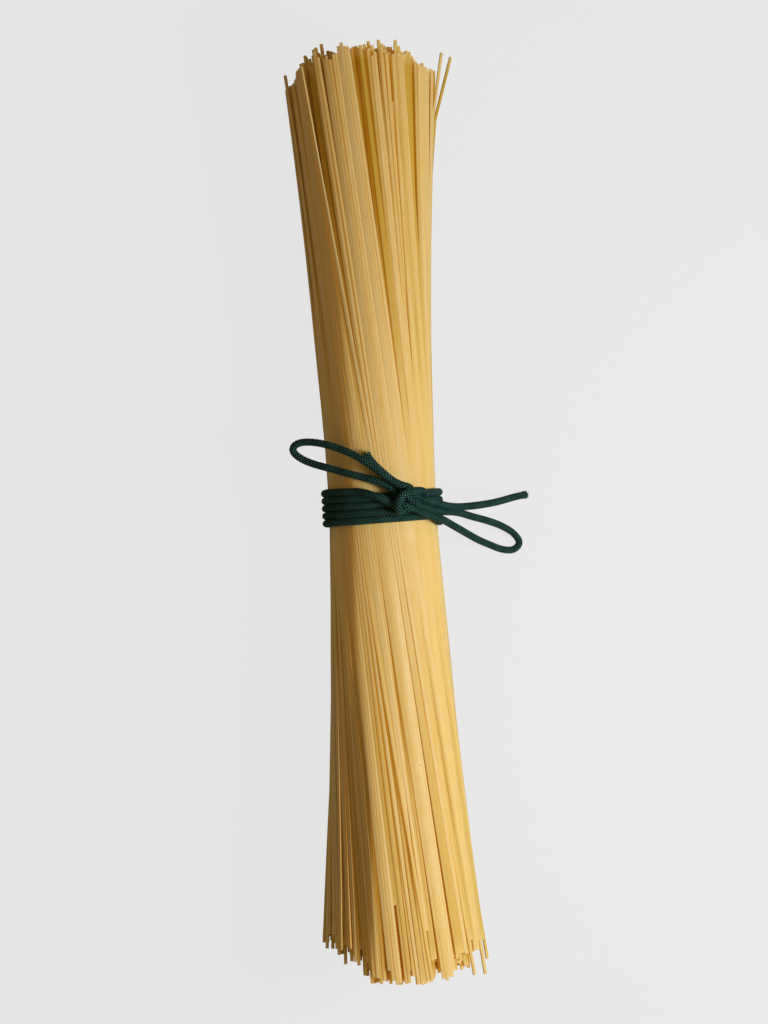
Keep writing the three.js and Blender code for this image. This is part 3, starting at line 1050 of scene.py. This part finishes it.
def strand_tips(strands, sections, limits, crown, shifts, layers, rng):
    """Places along the bundle where the strands end: ragged, some slid, chipped or broken."""
    count = sections.shape[1]
    top_shift, bottom_shift = shifts
    loose = rng.random(count) < SLID_SHARE
    slid = loose * rng.uniform(-SLID_REACH, SLID_REACH, count) * MM
    top_back = drawn_back(1, sections[-1, :, 0] / limits[-1])
    top = strands.length / 2 - TOP_BACK * MM - crown + top_shift + slid - top_back
    bottom_back = drawn_back(-1, sections[0, :, 0] / limits[0])
    bottom = -strands.length / 2 + BOTTOM_BACK * MM + crown + BOTTOM_RAGGED * bottom_shift
    bottom = bottom + slid + bottom_back
    chipped = rng.random((2, count)) < CHIPPED_SHARE
    top -= chipped[0] * rng.uniform(*CHIPPED_REACH, count) * MM
    bottom += chipped[1] * rng.uniform(*CHIPPED_REACH, count) * MM
    taken = layers > 0
    for end, degrees, missing in BROKEN:
        strand = outer_strand(sections, taken, end, degrees)
        if end > 0:
            top[strand] -= missing * MM
        else:
            bottom[strand] += missing * MM
    return np.maximum(bottom, -strands.length / 2 + BOTTOM_LEAST * MM), top


def lay_strands(strands, cord):
    """Centre lines as stations by strands by (x, height from the axis), their ends and looks."""
    rng = np.random.default_rng(strands.seed)
    along = strand_stations(strands)
    limit, limits = tied_limit(strands, cord), strand_limits(strands, cord, along)
    tight, layers = packed_section(strands, cord, rng)
    upper, *upper_looks, top_shift = parted(strands, cord, along, tight, layers, 1, rng)
    lower, *lower_looks, bottom_shift = parted(strands, cord, along, tight, layers, -1, rng)
    above = along > WRAP_MIDDLE
    sections = np.where(above[:, None, None], upper, lower)
    tilt, inside = np.where(above[:, None], upper_looks, lower_looks)

    room, stray_tips = stand_off(strands, along, sections, limits, layers)
    press_together(strands, along, sections, limits + room)

    depth = np.linalg.norm(tight, axis=1)
    crown = END_CROWN * MM * (depth / limit) ** 2
    shifts = (top_shift, bottom_shift)
    bottom, top = strand_tips(strands, sections, limits, crown, shifts, layers, rng)
    for end, places in ((1, top), (-1, bottom)):
        places[list(stray_tips[end])] = list(stray_tips[end].values())
    looks = {
        "tone": np.clip(rng.normal(*TONE, len(tight)), 0, 1),
        "thickness": rng.normal(*THICKNESS, len(tight)),
        "shown": depth > limit - SHOWN_DEPTH * strands.diameter,
    }
    return along, sections, {"ribbon_lean": tilt, "inside": inside}, bottom, top, looks


def strand_lines(strands, cord):
    """A mesh with one open line of points for each strand, and its looks and tips as attributes."""
    along, sections, changing, bottom, top, looks = lay_strands(strands, cord)
    stations, count = sections.shape[:2]
    share = (along - along[0]) / (along[-1] - along[0])
    places = bottom[:, None] + (top - bottom)[:, None] * share[None]

    def at_places(values):
        return np.array([np.interp(places[strand], along, values[:, strand])
                         for strand in range(count)])

    heights = at_places(sections[:, :, 1]) + AXIS_HEIGHT
    points = np.stack([at_places(sections[:, :, 0]), places, heights], axis=2)
    index = np.arange(count * stations).reshape(count, stations)
    edges = np.stack([index[:, :-1], index[:, 1:]], axis=2).reshape(-1, 2)

    mesh = bpy.data.meshes.new("strand_lines")
    mesh.from_pydata(points.reshape(-1, 3).tolist(), edges.tolist(), [])
    attributes = {"to_tip": np.minimum(places - bottom[:, None], top[:, None] - places)}
    attributes.update((name, at_places(values)) for name, values in changing.items())
    attributes.update((name, np.repeat(values, stations)) for name, values in looks.items())
    for name, values in attributes.items():
        kind = "BOOLEAN" if name == "shown" else "FLOAT"
        mesh.attributes.new(name, kind, "POINT").data.foreach_set("value", values.ravel())
    return mesh


def strand_tree():
    """Geometry nodes that turn lines into round strands with cut tips, finer near the outside."""
    tree = bpy.data.node_groups.new("capellini_strands", "GeometryNodeTree")
    for name, kind in (("Lines", "Geometry"), ("Strand Diameter", "Float"), ("Shown Sides", "Int"),
                       ("Hidden Sides", "Int"), ("Hidden Points", "Int"), ("Finish", "Material")):
        tree.interface.new_socket(name, in_out="INPUT", socket_type="NodeSocket" + kind)
    tree.interface.new_socket("Strands", in_out="OUTPUT", socket_type="NodeSocketGeometry")
    start = tree.nodes.new("NodeGroupInput").outputs
    radius = worked(tree, "MULTIPLY", start["Strand Diameter"], 0.5)
    shown = add_node(tree, "GeometryNodeInputNamedAttribute", {"Name": "shown"},
                     data_type="BOOLEAN")
    thickness = add_node(tree, "GeometryNodeInputNamedAttribute", {"Name": "thickness"},
                         data_type="FLOAT")
    parts = add_node(tree, "GeometryNodeSeparateGeometry", {
        "Geometry": start["Lines"], "Selection": shown.outputs["Attribute"]}, domain="POINT")
    joined = tree.nodes.new("GeometryNodeJoinGeometry")
    for output, sides in (("Inverted", "Hidden Sides"), ("Selection", "Shown Sides")):
        profile = add_node(tree, "GeometryNodeCurvePrimitiveCircle", {
            "Resolution": start[sides], "Radius": radius}, mode="RADIUS")
        curves = add_node(tree, "GeometryNodeMeshToCurve", {"Mesh": parts.outputs[output]})
        if output == "Inverted":
            curves = add_node(tree, "GeometryNodeResampleCurve", {
                "Curve": curves.outputs["Curve"], "Count": start["Hidden Points"]})
        tubes = add_node(tree, "GeometryNodeCurveToMesh", {
            "Curve": curves.outputs["Curve"], "Profile Curve": profile.outputs["Curve"],
            "Scale": thickness.outputs["Attribute"], "Fill Caps": True})
        tree.links.new(tubes.outputs["Mesh"], joined.inputs["Geometry"])
    smooth = add_node(tree, "GeometryNodeSetShadeSmooth", {"Geometry": joined.outputs["Geometry"]})
    real = add_node(tree, "GeometryNodeRealizeInstances", {"Geometry": smooth.outputs["Geometry"]})
    finish = add_node(tree, "GeometryNodeSetMaterial", {
        "Geometry": real.outputs["Geometry"], "Material": start["Finish"]})
    add_node(tree, "NodeGroupOutput", {"Strands": finish.outputs["Geometry"]})
    return tree


def pasta_material(strands):
    """Dry durum pasta: each strand its own yellow, faint streaks, bran specks and pale cut tips."""
    material, tree, shader = new_material("dry_pasta")
    to_tip, inside = attribute(tree, "to_tip"), attribute(tree, "inside")
    place = add_node(tree, "ShaderNodeTexCoord").outputs["Object"]
    lengthwise = add_node(tree, "ShaderNodeMapping", {"Vector": place, "Scale": (1, 0.05, 1)})
    streaks = add_node(tree, "ShaderNodeTexNoise", {
        "Vector": lengthwise.outputs["Vector"], "Scale": 900, "Detail": 2}).outputs["Fac"]
    dots = add_node(tree, "ShaderNodeTexVoronoi", {"Vector": place, "Scale": 190})

    streak_tone = remapped(tree, streaks, NOISE_RANGE, (-0.22, 0.22))
    streaked = worked(tree, "ADD", attribute(tree, "tone"), streak_tone)
    yellow = mixed_colour(tree, streaked, rgba(strands.golden), rgba(strands.pale))
    # Painted shade: the sunk and inner strands take the inner colour, less of it near their tips
    off_tip = remapped(tree, to_tip, (0, 4 * MM), (0.1, 0.8))
    yellow = mixed_colour(tree, worked(tree, "MULTIPLY", inside, off_tip), yellow,
                          rgba(strands.inner))
    tip_share = remapped(tree, to_tip, (0, 0.5 * MM), (0.5, 0))
    tipped = mixed_colour(tree, tip_share, yellow, rgba(strands.cut_tip))
    speck_share = remapped(tree, dots.outputs["Distance"], (0.028, 0.05), (0.45, 0))
    specked = mixed_colour(tree, speck_share, tipped, rgba(strands.speck))
    bump = add_node(tree, "ShaderNodeBump", {
        "Height": streaks, "Strength": 0.25, "Distance": 0.04 * MM})
    set_inputs(tree, shader, {
        "Base Color": specked,
        "Roughness": uneven_tone(tree, 420, 0.42, 0.6),
        "Normal": bump.outputs["Normal"],
        "Diffuse Roughness": 0.6,
        "Subsurface Weight": 0.12,
        "Subsurface Radius": (1.0, 0.7, 0.4),
        "Subsurface Scale": 0.5 * MM,
        # Painted shade on the reflection: less gloss and sheen on the sunk and inner strands
        "Specular IOR Level": remapped(tree, inside, (0, 1), (0.22, 0)),
        "Sheen Weight": remapped(tree, inside, (0, 1), (0.25, 0)),
        "Sheen Roughness": 0.4,
    })

    passed = add_node(tree, "ShaderNodeBsdfTransparent", {"Color": rgba(strands.glow)})
    path = tree.nodes.new("ShaderNodeLightPath")
    switch_by_ray(tree, path.outputs["Is Shadow Ray"], shader.outputs["BSDF"],
                  passed.outputs["BSDF"])
    return material


def even_out(mesh, strands):
    """Turns the normals towards the bundle's own roundness, so that neighbours shade as one."""
    corners = np.empty((len(mesh.loops), 3), np.float32)
    mesh.corner_normals.foreach_get("vector", corners.ravel())
    points = np.empty((len(mesh.vertices), 3), np.float32)
    mesh.vertices.foreach_get("co", points.ravel())
    owners = np.empty(len(mesh.loops), np.int32)
    mesh.loops.foreach_get("vertex_index", owners)
    tilt = np.empty(len(mesh.vertices), np.float32)
    mesh.attributes["ribbon_lean"].data.foreach_get("value", tilt)
    place = points[owners]
    up, down = place[:, 1], -place[:, 1]
    swing = np.arctan2(place[:, 0], place[:, 2] - AXIS_HEIGHT)

    past = past_flat_edge(up, np.degrees(swing))
    less, more = eased(up, *FLAT_LESS_FROM), eased(down, *FLAT_MORE_FROM)
    on_flat = eased(past, *FLAT_LIT_IN) * (1 - eased(past, *FLAT_LIT_OUT))
    on_flat = on_flat * (1 - eased(down, *FLAT_FADE))
    swing -= strands.flat_turn * (1 - FLAT_LESS * less + FLAT_MORE * more) * on_flat
    ridge = np.exp(-np.square(np.degrees(swing) / RIDGE_WIDTH))
    swing += strands.flat_turn * RIDGE_TURN * ridge * eased(down, *RIDGE_FROM)

    dull = on_flat * eased(down, *DULL_FROM)
    swing += (1 - DULL_LEAN * dull) * tilt[owners]
    outward = np.stack([np.sin(swing), np.zeros(len(swing)), np.cos(swing)], axis=1)
    facing = (corners * outward).sum(1)
    on_side = np.abs(corners[:, 1]) < CUT_FACE
    evenness = strands.evenness + (DULL_EVENNESS - strands.evenness) * dull
    turned = evenness * on_side * np.clip(FACING_GAIN * facing + FACING_START + dull, 0, 1)
    corners += turned[:, None] * (outward - corners)
    corners /= np.linalg.norm(corners, axis=1)[:, None]
    mesh.normals_split_custom_set(corners.tolist())


class CAPELLINI_OT_strands(bpy.types.Operator):
    """Lay every strand of the bundle, packed tight under the tie and spread to both ends"""

    bl_idname = "capellini.strands"
    bl_label = "Capellini Strands"

    def execute(self, context):
        strands, cord = context.scene.capellini_strands, context.scene.capellini_cord
        lines = link(bpy.data.objects.new("strand_lines", strand_lines(strands, cord)))
        tree = strand_tree()
        modifier = lines.modifiers.new("strands", "NODES")
        modifier.node_group = tree
        inputs = {
            "Strand Diameter": strands.diameter, "Shown Sides": SHOWN_SIDES,
            "Hidden Sides": HIDDEN_SIDES, "Hidden Points": HIDDEN_POINTS,
            "Finish": pasta_material(strands),
        }
        for item in tree.interface.items_tree:
            if item.name in inputs:
                modifier[item.identifier] = inputs[item.name]
        context.view_layer.update()
        graph = context.evaluated_depsgraph_get()
        mesh = bpy.data.meshes.new_from_object(lines.evaluated_get(graph), depsgraph=graph)
        bpy.data.objects.remove(lines)
        mesh.name = "capellini_strands"
        mesh.set_sharp_from_angle(angle=TIP_SHARPNESS)
        even_out(mesh, strands)
        piece = link(bpy.data.objects.new("capellini_strands", mesh))
        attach(piece, "root")
        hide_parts("capellini_bundle")
        return {"FINISHED"}


# Stage

FLOOR_HALF = 3.0
FLOOR_LIFT = 0.8
CAMERA_PLACE = (0.34 * MM, 0.25 * MM)


def plain_floor(stage):
    """A wide flat pale floor at z = 0, lifted where the camera sees it, so its shadow is light."""
    mesh = bpy.data.meshes.new("floor")
    corners = [(-1, -1), (1, -1), (1, 1), (-1, 1)]
    mesh.from_pydata([(x * FLOOR_HALF, y * FLOOR_HALF, 0) for x, y in corners], [], [(0, 1, 2, 3)])
    material, tree, shader = new_material("pale_floor")
    set_inputs(tree, shader, {
        "Base Color": rgba(stage.floor), "Roughness": 0.9, "Specular IOR Level": 0.1})
    lifted = add_node(tree, "ShaderNodeEmission", {"Color": rgba(stage.backdrop), "Strength": 1.0})
    path = tree.nodes.new("ShaderNodeLightPath")
    share = worked(tree, "MULTIPLY", path.outputs["Is Camera Ray"], FLOOR_LIFT)
    switch_by_ray(tree, share, shader.outputs["BSDF"], lifted.outputs["Emission"])
    mesh.materials.append(material)
    return link(bpy.data.objects.new("floor", mesh))


def surroundings(stage):
    """Soft warm light from all round, and a pale backdrop where the camera sees past the floor."""
    world = bpy.data.worlds.new("surroundings")
    world.use_nodes = True
    tree = world.node_tree
    tree.nodes.clear()
    tree.nodes.new("ShaderNodeOutputWorld")
    fill = add_node(tree, "ShaderNodeBackground", {
        "Color": rgba(stage.fill_colour), "Strength": stage.fill})
    pale = add_node(tree, "ShaderNodeBackground", {
        "Color": rgba(stage.backdrop), "Strength": 1.0})
    path = tree.nodes.new("ShaderNodeLightPath")
    switch_by_ray(tree, path.outputs["Is Camera Ray"], fill.outputs["Background"],
                  pale.outputs["Background"])
    return world


class CAPELLINI_OT_stage(bpy.types.Operator):
    """Set the camera straight above the bundle, the key light at the right, fill light and floor"""

    bl_idname = "capellini.stage"
    bl_label = "Stage"

    def execute(self, context):
        scene, stage = context.scene, context.scene.capellini_stage
        plain_floor(stage)

        camera = bpy.data.cameras.new("camera")
        camera.sensor_fit = "VERTICAL"
        camera.angle = 2 * math.atan(stage.view_height / 2 / stage.camera_height)
        camera.clip_start = 0.01
        seen = link(bpy.data.objects.new("camera", camera))
        seen.location = (*CAMERA_PLACE, AXIS_HEIGHT + stage.camera_height)
        seen.rotation_euler = (0, 0, stage.roll)
        scene.camera = seen

        key = bpy.data.lights.new("key", "AREA")
        key.shape = "DISK"
        key.size = stage.key_width
        key.energy = stage.key_power
        key.color = stage.key_colour
        lamp = link(bpy.data.objects.new("key", key))
        lamp.location = (stage.key_distance * math.cos(stage.key_height), stage.key_place,
                         AXIS_HEIGHT + stage.key_distance * math.sin(stage.key_height))
        lamp.rotation_euler = (0, math.pi / 2 - stage.key_height, 0)
        lamp.visible_camera = False

        scene.world = surroundings(stage)
        scene.view_settings.view_transform = "Standard"
        return {"FINISHED"}


class VIEW3D_PT_capellini(bpy.types.Panel):
    """Sidebar panel with the steps that build the bundle"""

    bl_label = "Capellini Bundle"
    bl_space_type = "VIEW_3D"
    bl_region_type = "UI"
    bl_category = "Capellini"

    def draw(self, context):
        for step in (CAPELLINI_OT_stage, CAPELLINI_OT_tie_cord, CAPELLINI_OT_strands):
            self.layout.operator(step.bl_idname)
        for settings in ("capellini_strands", "capellini_cord", "capellini_stage"):
            box = self.layout.box()
            group = getattr(context.scene, settings)
            for name in group.__annotations__:
                box.prop(group, name)


CLASSES = (StrandSettings, CordSettings, StageSettings, CAPELLINI_OT_stage, CAPELLINI_OT_tie_cord,
           CAPELLINI_OT_strands, VIEW3D_PT_capellini)


def register():
    for kind in CLASSES:
        bpy.utils.register_class(kind)
    bpy.types.Scene.capellini_strands = PointerProperty(type=StrandSettings)
    bpy.types.Scene.capellini_cord = PointerProperty(type=CordSettings)
    bpy.types.Scene.capellini_stage = PointerProperty(type=StageSettings)


def unregister():
    del bpy.types.Scene.capellini_stage
    del bpy.types.Scene.capellini_cord
    del bpy.types.Scene.capellini_strands
    for kind in reversed(CLASSES):
        bpy.utils.unregister_class(kind)


def main():
    register()
    bpy.ops.capellini.stage()
    bpy.ops.capellini.tie_cord()
    bpy.ops.capellini.strands()


if __name__ == "__main__":
    main()
